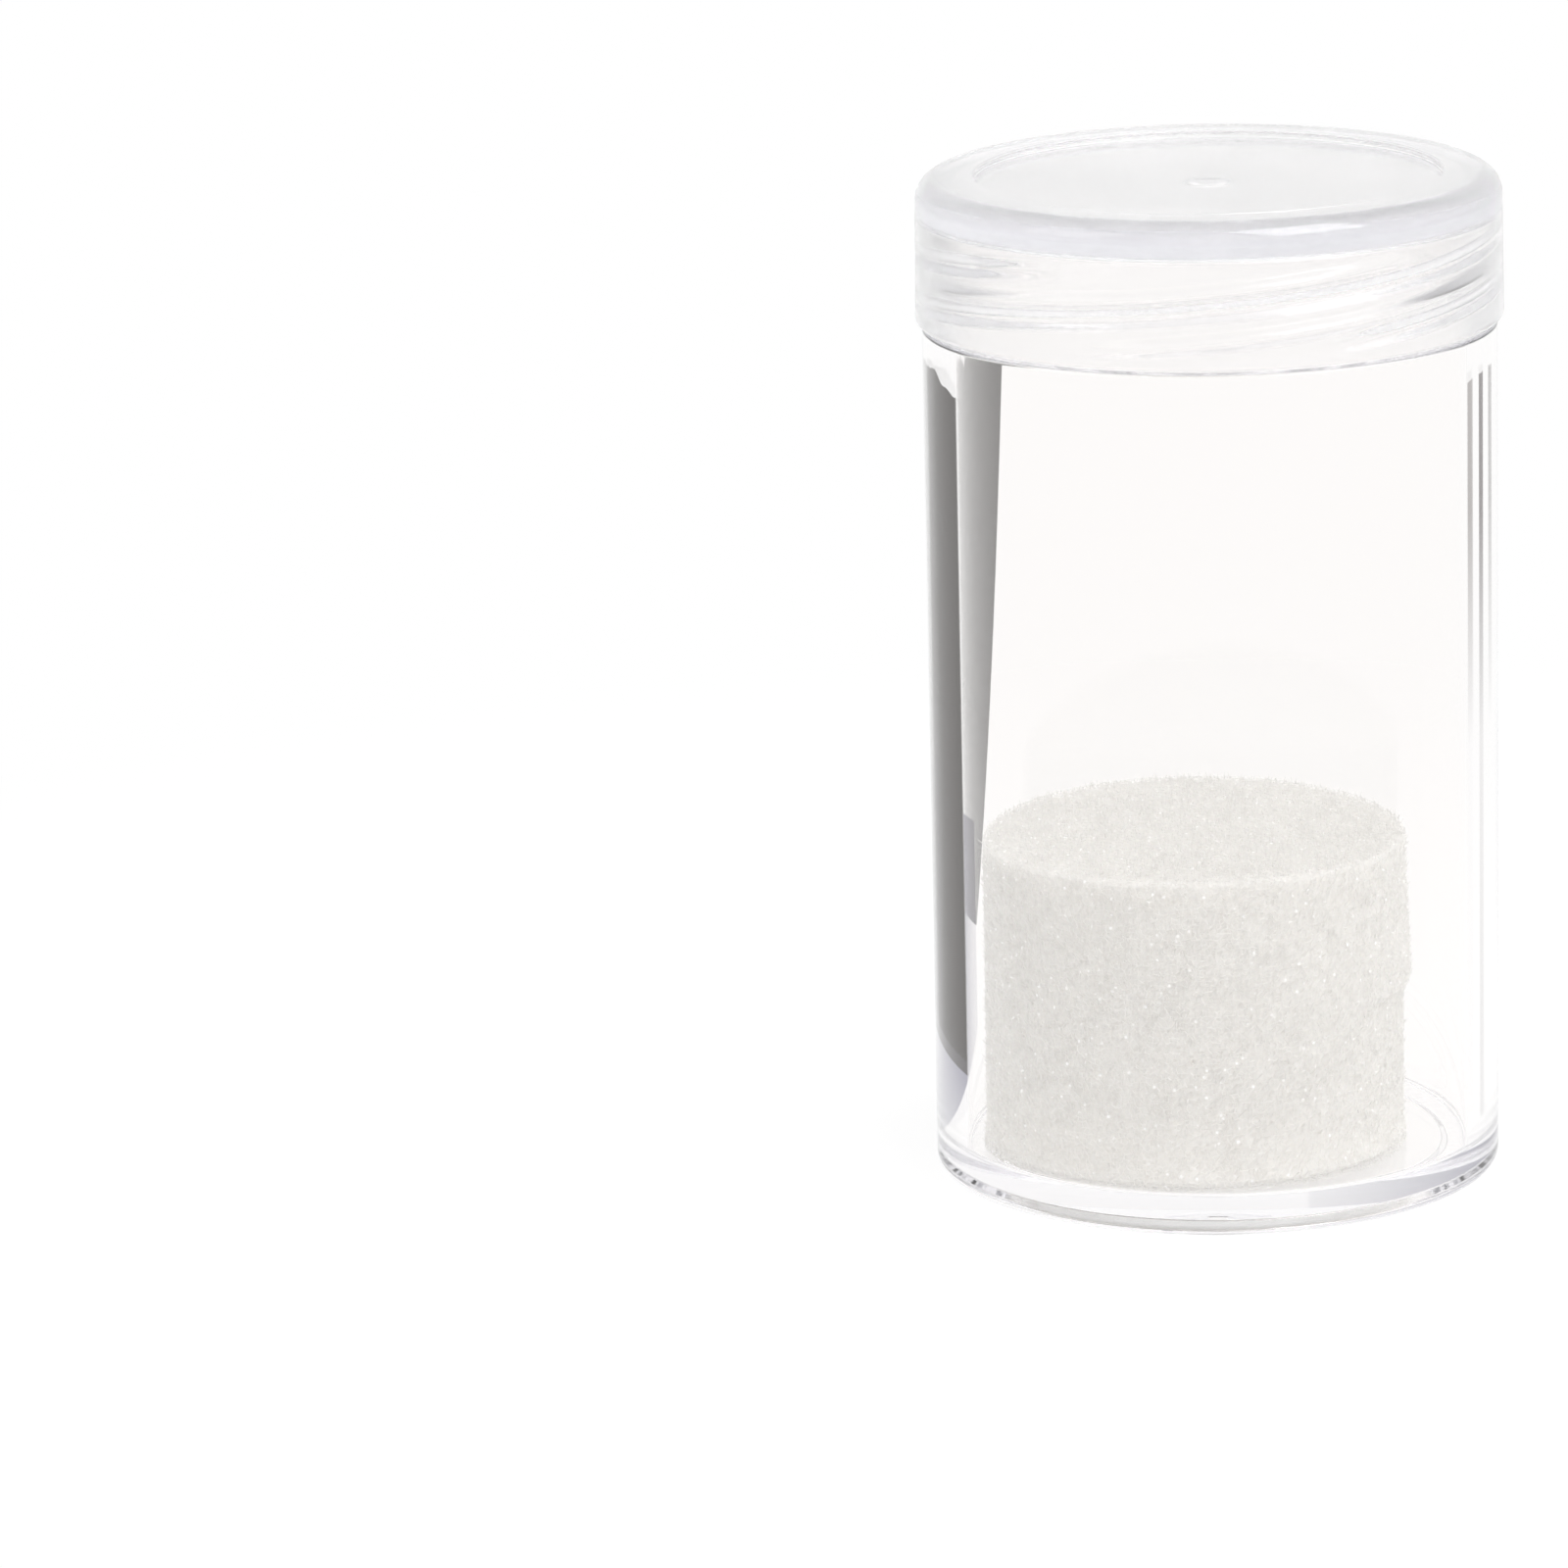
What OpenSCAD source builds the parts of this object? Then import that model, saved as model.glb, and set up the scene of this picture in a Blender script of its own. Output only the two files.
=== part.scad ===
// Clear coin tube with a multi-start screw lid and a foam insert.
// Z is the tube's axis, the table is at z = 0, and the lid is shown screwed down.

/* [Coin space] */
// Inside diameter of the tube, a little over that of the coins in their capsules
bore_d = 40; // [30:0.5:60]
// Depth from the rim of the neck to the inner floor
bore_depth = 74.3; // [50:0.1:150]
// Radius of the corner between the inner floor and the wall
floor_fillet_r = 0.5; // [0.3:0.1:3]

/* [Tube] */
// Wall thickness of the body
wall_t = 2.5; // [2.3:0.1:5]
// Height of the inner floor above the table
floor_h = 2.8; // [2.6:0.1:6]
// Width of the foot ring that the tube stands on, with its rounded edge
foot_ring_w = 4; // [3:0.5:8]
// How far the inner side of the foot ring slopes inwards up to the recess
foot_slope_w = 0.8; // [0.2:0.1:1.5]
// Depth of the shallow recess inside the foot ring
foot_recess_depth = 0.6; // [0.2:0.1:1]
// Radius of the rounded edge under the tube
foot_edge_r = 1; // [0.3:0.1:1.4]
// Radius of the small edge rounding at the shoulder and at the rim
small_edge_r = 0.3; // [0.1:0.05:0.4]

/* [Neck and thread] */
// Wall thickness of the neck, from the bore to the root of the thread
neck_wall_t = 1.2; // [1:0.05:1.5]
// Height of the neck above the shoulder
neck_h = 8.8; // [7:0.1:14]
// Number of threads that start around the neck
thread_starts = 3; // [1:1:4]
// Rise from one thread ridge to the next
thread_pitch = 3.8; // [3.2:0.1:5]
// Height of a thread ridge above its wall
ridge_h = 0.6; // [0.45:0.05:0.7]
// Width of a thread ridge at its root
ridge_root_w = 1.6; // [1.2:0.1:1.8]
// Width of a thread ridge at its crest
ridge_crest_w = 0.8; // [0.4:0.1:1]
// Gap along the axis between a ridge's end and the nearest edge of its wall
ridge_end_margin = 0.5; // [0.2:0.1:1]
// Angle at which the first ridge of the neck starts
thread_angle = -121; // [-180:1:180]

/* [Lid] */
// Thickness of the lid's top, from its ceiling to its rim
lid_top_t = 2.8; // [2.4:0.1:5]
// Thickness of the lid's skirt
skirt_t = 1; // [0.8:0.05:2]
// Width of the flat rim around the top panel, with its rounded edge
lid_rim_w = 4.7; // [3.5:0.1:8]
// Depth of the top panel below the rim
panel_recess_depth = 0.6; // [0.2:0.1:1]
// Radius of the rounded top edge
lid_edge_r = 1.8; // [0.5:0.1:2]
// Radius of the rounded lower edge of the skirt
skirt_edge_r = 0.4; // [0.2:0.1:0.6]
// How much slimmer the skirt is at the top than at its lower edge, on the radius
skirt_draft = 0.15; // [0:0.05:0.3]
// Radius of the corner between the ceiling and the skirt
ceiling_fillet_r = 0.5; // [0.2:0.1:0.6]

/* [Clearances] */
// Radial gap between a thread ridge and the wall that it faces
thread_clearance = 0.2; // [0.15:0.05:0.4]
// Gap between the thread flanks that bear on each other when the lid is tight
flank_clearance = 0.25; // [0.2:0.05:0.4]
// Gap between the rim of the neck and the lid's ceiling
seat_clearance = 0.1; // [0.05:0.05:0.3]
// Gap between the shoulder and the skirt's lower edge
skirt_clearance = 0.3; // [0.2:0.05:1]

/* [Gate marks] */
// Diameter of the round dimple that holds a moulding gate's mark under the tube
tube_dimple_d = 5.6; // [3:0.2:8]
// Depth of the dimple under the tube
tube_dimple_depth = 1; // [0.5:0.1:1.2]
// Diameter of the dimple in the lid's ceiling
lid_dimple_d = 3.6; // [3:0.2:8]
// Depth of the dimple in the lid's ceiling
lid_dimple_depth = 0.5; // [0.5:0.1:1]
// Diameter of the gate stub in each dimple
gate_stub_d = 1.6; // [1:0.1:2.5]
// Height of the gate stub
gate_stub_h = 0.4; // [0.2:0.05:0.5]

/* [Foam insert] */
// How much smaller the foam is than the flat part of the inner floor, on the radius
foam_play = 2.75; // [0.5:0.05:8]
// How much of this play is left on the side where the foam stands close to the wall
foam_side_gap = 0.25; // [0.1:0.05:0.5]
// Side to which the foam has moved, counter-clockwise from the right
foam_side_angle = 230; // [0:5:355]
// Height of the foam
foam_h = 25; // [5:1:48]
// Radius of the foam's worn edges
foam_edge_r = 0.8; // [0.3:0.1:2]

/* [Hidden] */
$fn = 96;

// Overrun of a cut past the face that it opens
overrun = 0.5;
// How deep a ridge's root is sunk into the wall that carries it
ridge_sink = 0.3;
// Angle between two sections of a ridge, and over which its ends rise to full height
ridge_step_angle = 7.5;
ridge_rise_angle = 22.5;

bore_r = bore_d / 2;
body_r = bore_r + wall_t;
neck_r = bore_r + neck_wall_t;
rim_z = floor_h + bore_depth;
shoulder_z = rim_z - neck_h;
foot_inner_r = body_r - foot_ring_w;
foot_recess_r = foot_inner_r - foot_slope_w;
tube_dimple_r = tube_dimple_d / 2;
lid_dimple_r = lid_dimple_d / 2;
gate_stub_r = gate_stub_d / 2;

floor_flat_r = bore_r - floor_fillet_r;
foam_r = floor_flat_r - foam_play;
foam_shift = foam_play - foam_side_gap;

skirt_inner_r = neck_r + ridge_h + thread_clearance;
lid_r = skirt_inner_r + skirt_t;
lid_upper_r = lid_r - skirt_draft;
skirt_z = shoulder_z + skirt_clearance;
ceiling_z = rim_z + seat_clearance;
lid_top_z = ceiling_z + lid_top_t;
panel_z = lid_top_z - panel_recess_depth;
panel_r = lid_r - lid_rim_w;
lid_dimple_z = ceiling_z + lid_dimple_depth;

thread_lead = thread_pitch * thread_starts;
flank_slope = (ridge_root_w - ridge_crest_w) / 2 / ridge_h;
sunk_root_half_w = ridge_root_w / 2 + flank_slope * ridge_sink;
// Drop from a ridge of the neck to the lid's ridge that bears on its underside
thread_bearing_drop = ridge_crest_w + flank_slope * (ridge_h - thread_clearance) + flank_clearance;
ridge_keep_in = ridge_root_w / 2 + ridge_end_margin;

neck_ridge_low_z = shoulder_z + ridge_keep_in;
neck_ridge_high_z = rim_z - ridge_keep_in;
lid_ridge_low_z = skirt_z + ridge_keep_in;
lid_ridge_high_z = ceiling_z - ridge_keep_in;
lid_thread_angle = thread_angle
    + angle_of_rise(lid_ridge_low_z + thread_bearing_drop - neck_ridge_low_z);

clear_plastic = [0.93, 0.94, 0.97, 0.35];
hazy_plastic = [0.92, 0.92, 0.96, 0.5];
white_foam = [0.93, 0.93, 0.91];

// Angle through which the thread climbs a given height
function angle_of_rise(rise) = rise / thread_lead * 360;

// Share of its full height that a ridge has at an angle along its run
function ridge_height_share(angle, run) =
    min(1, angle / ridge_rise_angle, (run - angle) / ridge_rise_angle);

// Cross-section of a ridge as [radius, height] corners; outward is 1 on a neck and -1 in a lid
function ridge_section(wall_r, outward, share) =
    let (root_r = wall_r - outward * ridge_sink,
         crest_r = wall_r + outward * (ridge_h * share - ridge_sink / 2 * (1 - share)))
    [[root_r, -sunk_root_half_w], [crest_r, -ridge_crest_w / 2],
     [crest_r, ridge_crest_w / 2], [root_r, sunk_root_half_w]];

// Corner slice that squares off a rounded profile corner at [r, z]
// side and up are 1 or -1 and point out of the corner
module corner_slice(r, z, radius, side, up) {
    size = radius + overrun;
    translate([r - side * radius, z - up * radius])
        difference() {
            translate([side > 0 ? 0 : -size, up > 0 ? 0 : -size])
                square(size);
            circle(radius);
        }
}

// Profile band from radius zero to r, between two heights
module band(r, low_z, high_z) {
    translate([0, low_z])
        square([r, high_z - low_z]);
}

// One thread ridge that climbs around a wall from low_z to high_z
module thread_ridge(wall_r, outward, low_z, high_z, start_angle) {
    run = angle_of_rise(high_z - low_z);
    steps = ceil(run / ridge_step_angle);
    points = [
        for (i = [0:steps])
            let (angle = run * i / steps,
                 z = low_z + (high_z - low_z) * i / steps)
            for (p = ridge_section(wall_r, outward, ridge_height_share(angle, run)))
                [p[0] * cos(start_angle + angle), p[0] * sin(start_angle + angle), z + p[1]]
    ];
    corners = [0, 1, 2, 3];
    sides = [
        for (i = [0:steps - 1])
            for (j = corners)
                let (a = 4 * i + j, b = 4 * i + (j + 1) % 4)
                for (face = [[a, b, b + 4], [a, b + 4, a + 4]])
                    face
    ];
    last = 4 * steps;
    caps = [[2, 1, 0], [3, 2, 0], [last, last + 1, last + 2], [last, last + 2, last + 3]];
    faces = concat(sides, caps);
    polyhedron(points, [for (f = faces) outward > 0 ? f : [f[2], f[1], f[0]]]);
}

// All the ridges of one thread, spaced evenly around the axis
module thread(wall_r, outward, low_z, high_z, start_angle) {
    for (i = [0:thread_starts - 1])
        thread_ridge(wall_r, outward, low_z, high_z, start_angle + 360 * i / thread_starts);
}

module tube_profile() {
    difference() {
        union() {
            band(body_r, 0, shoulder_z);
            band(neck_r, 0, rim_z);
        }
        // Rounded edges of the foot, the shoulder and the rim
        corner_slice(body_r, 0, foot_edge_r, 1, -1);
        corner_slice(body_r, shoulder_z, small_edge_r, 1, 1);
        corner_slice(neck_r, rim_z, small_edge_r, 1, 1);
        // Coin space with its rounded floor corner
        difference() {
            band(bore_r, floor_h, rim_z + overrun);
            corner_slice(bore_r, floor_h, floor_fillet_r, 1, -1);
        }
        // Recess with its sloping side
        band(foot_inner_r, -overrun, 0);
        polygon([
            [0, 0], [foot_inner_r, 0], [foot_recess_r, foot_recess_depth], [0, foot_recess_depth]
        ]);
        // Dimple around the gate stub
        difference() {
            band(tube_dimple_r, 0, foot_recess_depth + tube_dimple_depth);
            band(gate_stub_r, foot_recess_depth + tube_dimple_depth - gate_stub_h, floor_h);
        }
    }
}

module lid_profile() {
    difference() {
        polygon([
            [0, skirt_z], [lid_r, skirt_z], [lid_r, skirt_z + skirt_edge_r],
            [lid_upper_r, lid_top_z - lid_edge_r], [lid_upper_r, lid_top_z], [0, lid_top_z]
        ]);
        // Rounded outer edges
        corner_slice(lid_r, skirt_z, skirt_edge_r, 1, -1);
        corner_slice(lid_upper_r, lid_top_z, lid_edge_r, 1, 1);
        // Space inside the skirt
        difference() {
            band(skirt_inner_r, skirt_z - overrun, ceiling_z);
            corner_slice(skirt_inner_r, ceiling_z, ceiling_fillet_r, 1, 1);
        }
        // Dimple in the middle of the ceiling
        band(lid_dimple_r, ceiling_z - overrun, lid_dimple_z);
        // Sunk top panel
        band(panel_r, panel_z, lid_top_z + overrun);
    }
}

// Closed tube with its foot ring, shoulder and threaded neck
module tube() {
    color(clear_plastic)
        union() {
            rotate_extrude()
                tube_profile();
            thread(neck_r, 1, neck_ridge_low_z, neck_ridge_high_z, thread_angle);
        }
}

// Screw lid with the matching thread inside its skirt
module lid() {
    color(hazy_plastic)
        union() {
            rotate_extrude()
                lid_profile();
            thread(skirt_inner_r, -1, lid_ridge_low_z, lid_ridge_high_z, lid_thread_angle);
        }
}

// Stub of the moulding gate, which hangs in the dimple of the lid's ceiling
module lid_gate() {
    color(hazy_plastic)
        translate([0, 0, lid_dimple_z - gate_stub_h])
            cylinder(h = gate_stub_h, r = gate_stub_r);
}

// Foam plug that stands loose on the inner floor
module foam_insert() {
    color(white_foam)
        translate([foam_shift * cos(foam_side_angle), foam_shift * sin(foam_side_angle), floor_h])
            rotate_extrude()
                difference() {
                    band(foam_r, 0, foam_h);
                    corner_slice(foam_r, 0, foam_edge_r, 1, -1);
                    corner_slice(foam_r, foam_h, foam_edge_r, 1, 1);
                }
}

tube();
lid();
lid_gate();
foam_insert();
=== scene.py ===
"""Clear coin tube with a threaded neck, a screw lid and a foam insert, dressed around its packed frame."""

import math
import random

import bmesh
import bpy
from bpy.props import FloatProperty, FloatVectorProperty, IntProperty, PointerProperty
from mathutils import Matrix, Vector, noise


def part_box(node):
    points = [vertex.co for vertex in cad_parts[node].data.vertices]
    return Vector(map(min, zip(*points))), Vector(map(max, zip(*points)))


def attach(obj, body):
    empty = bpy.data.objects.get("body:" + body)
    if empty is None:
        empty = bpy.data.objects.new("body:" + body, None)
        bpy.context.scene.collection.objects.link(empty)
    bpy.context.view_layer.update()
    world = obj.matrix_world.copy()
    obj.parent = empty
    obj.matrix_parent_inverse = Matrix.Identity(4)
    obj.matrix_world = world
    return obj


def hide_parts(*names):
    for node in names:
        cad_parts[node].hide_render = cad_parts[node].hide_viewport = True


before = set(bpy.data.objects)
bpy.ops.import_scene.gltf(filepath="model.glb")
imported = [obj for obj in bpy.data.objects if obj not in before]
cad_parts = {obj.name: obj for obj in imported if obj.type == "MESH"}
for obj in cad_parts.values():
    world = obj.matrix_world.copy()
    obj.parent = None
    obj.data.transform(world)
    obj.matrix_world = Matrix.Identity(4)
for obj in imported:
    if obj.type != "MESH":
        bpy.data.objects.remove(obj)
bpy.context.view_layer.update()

bl_info = {
    "name": "Coin Tube",
    "version": (1, 0, 0),
    "blender": (4, 5, 0),
    "location": "3D View > Sidebar > Coin Tube",
    "description": "Builds a clear coin tube with a screw lid and a foam insert",
    "category": "Add Mesh",
}

TUBE_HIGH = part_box("tube")[1]
LID_LOW, LID_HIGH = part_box("lid")
GATE_LOW, GATE_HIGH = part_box("lid_gate")
FOAM_LOW, FOAM_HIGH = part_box("foam_insert")

# Meshes are modelled this much larger and then scaled down, because bevels lose small edges in metres.
# Every length in this working scale, here and in the functions that build meshes, is in millimetres.
WORK = 1000
# Gap that keeps two touching faces of clear plastic apart
TOUCH_GAP = 0.02
# Distances within which points merge: on a turned profile, and where a threaded wall meets the rest
MERGE, WALL_MERGE = 1e-4, 1e-3
# Segments of a rounded edge of the plastic and of the foam
EDGE_SEGMENTS, FOAM_EDGE_SEGMENTS = 6, 4
# Rows of faces in one turn of a thread, and columns of the tube and the lid and of the gate stub
THREAD_ROWS, STEPS, STUB_STEPS = 160, 360, 48
# The foam's dense core: its depth under the skin, its height above the foam's underside, and the size of its faces
CORE_DEPTH, CORE_LIFT, CORE_STEP = 0.22, 0.15, 0.3
# The rounding of the core's lower and upper edge, and the width, steepness and depth of its pits
CORE_LOW_EDGE, CORE_HIGH_EDGE = 0.8, 0.35
PIT_WIDTH, PIT_SLOPE, PIT_DEPTH = 0.5, 1.6, 0.15
# Height of a row of cells in the foam's nets as a share of a cell's width, and how far their joints stray
ROW_SHARE, STRAY, SIDE_STRAY = 0.87, 0.28, 0.3
# Middle and spread of the nets' ruffle
RUFFLE_SPREAD = (0.3, 0.6)
# How far the nets stay above the foam's underside, below its top and inside the edge of its top
NET_LIFT, NET_DROP, NET_INSET = 0.1, 0.05, 0.1
# Hairs in one batch, the room that they need inside the solid's edge and the furthest that they reach past it
HAIRS, HAIR_ROOM, HAIR_REACH = 150, 0.1, 0.4
# Depth of the hairs' feet in the side and in the top
HAIR_SIDE_DEPTH, HAIR_TOP_DEPTH = 0.08, 0.15
# Shares: a hair's least length, its thickness beside a strut's, and its tip's thickness beside its foot's
HAIR_LEAST, HAIR_THICKNESS, HAIR_TAPER = 0.4, 0.65, 0.4
# How far hairs lean any way for one upwards, and how far those of the side lean outwards
HAIR_LEAN, HAIR_OUTWARDS = 0.3, 0.25
# Columns of a dark card on the stage and its height above the table
CARD_STEPS, CARD_GAP = 24, 0.2
# Width of the photograph in pixels and of the camera's sensor in millimetres
PHOTO_WIDTH, SENSOR_WIDTH = 1600, 36


class ThreadSettings(bpy.types.PropertyGroup):
    """Sizes of the screw thread on the neck and in the lid."""

    starts: IntProperty(
        name="Starts", description="Number of ridges that start around the axis", default=3, min=1, max=4
    )
    pitch: FloatProperty(
        name="Pitch", description="Rise from one ridge to the next", default=0.0038, unit="LENGTH", precision=4
    )
    ridge_height: FloatProperty(
        name="Ridge height", description="Height of a ridge above its wall", default=0.0006,
        unit="LENGTH", precision=4,
    )
    ridge_width: FloatProperty(
        name="Ridge width", description="Width of a rounded ridge at its wall", default=0.002,
        unit="LENGTH", precision=4,
    )
    end_distance: FloatProperty(
        name="End distance", description="Distance from the middle of a ridge's end to the edge of its wall",
        default=0.0013, unit="LENGTH", precision=4,
    )
    start_angle: FloatProperty(
        name="Start angle", description="Angle at which the neck's first ridge starts",
        default=math.radians(-121), subtype="ANGLE",
    )
    rise_angle: FloatProperty(
        name="Run-in angle", description="Angle over which a ridge's ends rise to full height",
        default=math.radians(22.5), subtype="ANGLE",
    )
    bearing_drop: FloatProperty(
        name="Bearing drop", description="Drop from a ridge of the neck to the lid's ridge that bears on it",
        default=0.00132, unit="LENGTH", precision=5,
    )


class TubeSettings(bpy.types.PropertyGroup):
    """Sizes and finish of the clear tube."""

    bore_radius: FloatProperty(
        name="Bore radius", description="Radius of the coin space", default=0.020, unit="LENGTH", precision=4
    )
    floor_height: FloatProperty(
        name="Floor height", description="Height of the inner floor", default=FOAM_LOW.z,
        unit="LENGTH", precision=4,
    )
    floor_fillet: FloatProperty(
        name="Floor fillet", description="Radius between the inner floor and the wall", default=0.0005,
        unit="LENGTH", precision=4,
    )
    neck_radius: FloatProperty(
        name="Neck radius", description="Radius of the neck at the thread's root", default=0.0212,
        unit="LENGTH", precision=4,
    )
    neck_height: FloatProperty(
        name="Neck height", description="Height of the neck above the shoulder", default=0.0088,
        unit="LENGTH", precision=4,
    )
    foot_edge: FloatProperty(
        name="Foot edge", description="Radius of the rounded edge under the tube", default=0.001,
        unit="LENGTH", precision=4,
    )
    foot_inner_radius: FloatProperty(
        name="Foot inner radius", description="Inner radius of the foot ring where it stands", default=0.01835,
        unit="LENGTH", precision=5,
    )
    recess_radius: FloatProperty(
        name="Recess radius", description="Radius of the flat recess inside the foot ring", default=0.018,
        unit="LENGTH", precision=4,
    )
    recess_depth: FloatProperty(
        name="Recess depth", description="Depth of the recess inside the foot ring", default=0.0006,
        unit="LENGTH", precision=4,
    )
    dimple_radius: FloatProperty(
        name="Dimple radius", description="Radius of the gate dimple under the tube", default=0.0028,
        unit="LENGTH", precision=4,
    )
    dimple_depth: FloatProperty(
        name="Dimple depth", description="Depth of the gate dimple under the tube", default=0.001,
        unit="LENGTH", precision=4,
    )
    small_edge: FloatProperty(
        name="Small edge", description="Radius of the rounded shoulder and rim", default=0.0003,
        unit="LENGTH", precision=4,
    )
    sharp_edge: FloatProperty(
        name="Crisp edge", description="Radius of the crisp moulded edges", default=0.00012,
        unit="LENGTH", precision=5,
    )
    colour: FloatVectorProperty(
        name="Colour", description="Colour of the clear plastic's surface", size=3,
        default=(0.995, 0.985, 0.978), subtype="COLOR", min=0, max=1,
    )
    tint: FloatVectorProperty(
        name="Tint", description="Colour that the clear plastic takes where it is thick", size=3,
        default=(0.80, 0.80, 0.86), subtype="COLOR", min=0, max=1,
    )
    tint_density: FloatProperty(
        name="Tint density", description="Strength of the tint for each metre of plastic", default=5, min=0
    )


class LidSettings(bpy.types.PropertyGroup):
    """Sizes and finish of the hazy lid."""

    skirt_inner_radius: FloatProperty(
        name="Skirt inner radius", description="Radius inside the skirt at the thread's root",
        default=0.022, unit="LENGTH", precision=4,
    )
    ceiling_height: FloatProperty(
        name="Ceiling height", description="Height of the underside of the lid's top", default=0.0772,
        unit="LENGTH", precision=4,
    )
    ceiling_fillet: FloatProperty(
        name="Ceiling fillet", description="Radius between the ceiling and the skirt", default=0.0005,
        unit="LENGTH", precision=4,
    )
    skirt_draft: FloatProperty(
        name="Skirt draft", description="How much slimmer the skirt is at the top", default=0.00015,
        unit="LENGTH", precision=5,
    )
    skirt_edge: FloatProperty(
        name="Skirt edge", description="Radius of the skirt's lower edge", default=0.0004,
        unit="LENGTH", precision=4,
    )
    top_edge: FloatProperty(
        name="Top edge", description="Radius of the lid's rounded top edge", default=0.0018,
        unit="LENGTH", precision=4,
    )
    panel_radius: FloatProperty(
        name="Panel radius", description="Radius of the sunk top panel", default=0.0183,
        unit="LENGTH", precision=4,
    )
    panel_depth: FloatProperty(
        name="Panel depth", description="Depth of the top panel below the rim", default=0.0006,
        unit="LENGTH", precision=4,
    )
    dimple_radius: FloatProperty(
        name="Dimple radius", description="Radius of the dimple around the gate stub", default=0.0018,
        unit="LENGTH", precision=4,
    )
    colour: FloatVectorProperty(
        name="Colour", description="Colour of the hazy plastic's surface", size=3,
        default=(1.0, 0.998, 0.997), subtype="COLOR", min=0, max=1,
    )
    haze: FloatProperty(
        name="Haze", description="Roughness of the lid's plastic", default=0.18, subtype="FACTOR", min=0, max=1
    )
    tint_density: FloatProperty(
        name="Tint density", description="Strength of the tint for each metre of hazy plastic", default=18, min=0
    )
    milk: FloatProperty(
        name="Milkiness", description="Share of light that the lid's plastic scatters", default=0.05,
        subtype="FACTOR", min=0, max=1,
    )


class FoamSettings(bpy.types.PropertyGroup):
    """Sizes and finish of the open-cell foam."""

    cell: FloatProperty(
        name="Cell", description="Width of one foam cell", default=0.00048, unit="LENGTH", precision=5
    )
    strut: FloatProperty(
        name="Strut", description="Thickness of a strut between cells", default=0.00007,
        unit="LENGTH", precision=5,
    )
    ruffle: FloatProperty(
        name="Ruffle", description="How far the struts of the cut face stray from it", default=0.0002,
        unit="LENGTH", precision=5,
    )
    hair: FloatProperty(
        name="Hair", description="Length of the longest cut strut ends", default=0.0006,
        unit="LENGTH", precision=5,
    )
    hair_patches: IntProperty(
        name="Hair patches", description="Number of batches of cut strut ends", default=80, min=0
    )
    # The foam's lower part is painted towards this colour as a painted glow
    colour: FloatVectorProperty(
        name="Colour", description="Colour of the foam where it is lightest", size=3,
        default=(0.832, 0.817, 0.79), subtype="COLOR", min=0, max=1,
    )


class StageSettings(bpy.types.PropertyGroup):
    """Camera, light and floor."""

    focal_pixels: FloatProperty(
        name="Focal length", description="Focal length in pixels of a 1600-pixel image", default=8237.1
    )
    camera_distance: FloatProperty(
        name="Camera distance", description="Distance of the camera from the point that it circles",
        default=0.64004, unit="LENGTH",
    )
    camera_height: FloatProperty(
        name="Centre height", description="Height of the point that the camera circles", default=0.039,
        unit="LENGTH",
    )
    camera_elevation: FloatProperty(
        name="Elevation", description="Angle of the camera above the horizon", default=0.2413, subtype="ANGLE"
    )
    camera_yaw: FloatProperty(
        name="Yaw", description="Turn of the camera to the left of the tube's axis", default=0.0532,
        subtype="ANGLE",
    )
    camera_pitch: FloatProperty(
        name="Pitch", description="Turn of the camera below the centre point", default=-0.0121, subtype="ANGLE"
    )
    camera_roll: FloatProperty(
        name="Roll", description="Roll of the camera about its own axis", default=0.0106, subtype="ANGLE"
    )
    ambient: FloatProperty(
        name="Ambient light", description="Strength of the room's light on solid surfaces", default=1.0, min=0
    )
    bounces: IntProperty(
        name="Bounces", description="Number of times that light may bounce in the plastic", default=56, min=8
    )
    clear_radius: FloatProperty(
        name="Shadow area", description="Distance from the tube at which the floor turns plain white",
        default=0.17, unit="LENGTH",
    )


def scaled(length):
    """A length of the settings in the working scale."""
    return length * WORK


def clamped(share):
    """A share kept between 0 and 1."""
    return min(1, max(0, share))


def wire_profile(bm, corners, segments=EDGE_SEGMENTS):
    """Draws a closed outline of (radius, height, rounding) corners and leaves it as rounded wire."""
    verts = [bm.verts.new((r, 0, z)) for r, z, _ in corners]
    face = bm.faces.new(verts)
    for rounding in sorted({corner[2] for corner in corners} - {0}):
        picked = [v for v, corner in zip(verts, corners) if corner[2] == rounding]
        bmesh.ops.bevel(
            bm, geom=picked, offset=rounding, offset_type="OFFSET", segments=segments,
            profile=0.5, affect="VERTICES", material=-1,
        )
    bmesh.ops.delete(bm, geom=bm.faces[:], context="FACES_ONLY")
    on_axis = [e for e in bm.edges if all(abs(v.co.x) < MERGE for v in e.verts)]
    bmesh.ops.delete(bm, geom=on_axis, context="EDGES")


def open_wall(bm, radius):
    """Takes the longest straight wall at a radius out of a wire profile and returns the heights of its ends."""
    walls = [e for e in bm.edges if all(abs(v.co.x - radius) < MERGE for v in e.verts)]
    longest = max(walls, key=lambda e: e.calc_length())
    ends = sorted(v.co.z for v in longest.verts)
    bm.edges.remove(longest)
    return ends


def spin_profile(bm, steps):
    """Turns the wire profile around the axis into a closed skin with its faces outwards."""
    bmesh.ops.spin(
        bm, geom=bm.verts[:] + bm.edges[:], cent=(0, 0, 0), axis=(0, 0, 1), angle=math.tau,
        steps=steps, use_merge=True, use_duplicate=False,
    )
    bmesh.ops.remove_doubles(bm, verts=bm.verts[:], dist=MERGE)
    bmesh.ops.recalc_face_normals(bm, faces=bm.faces[:])


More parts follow.
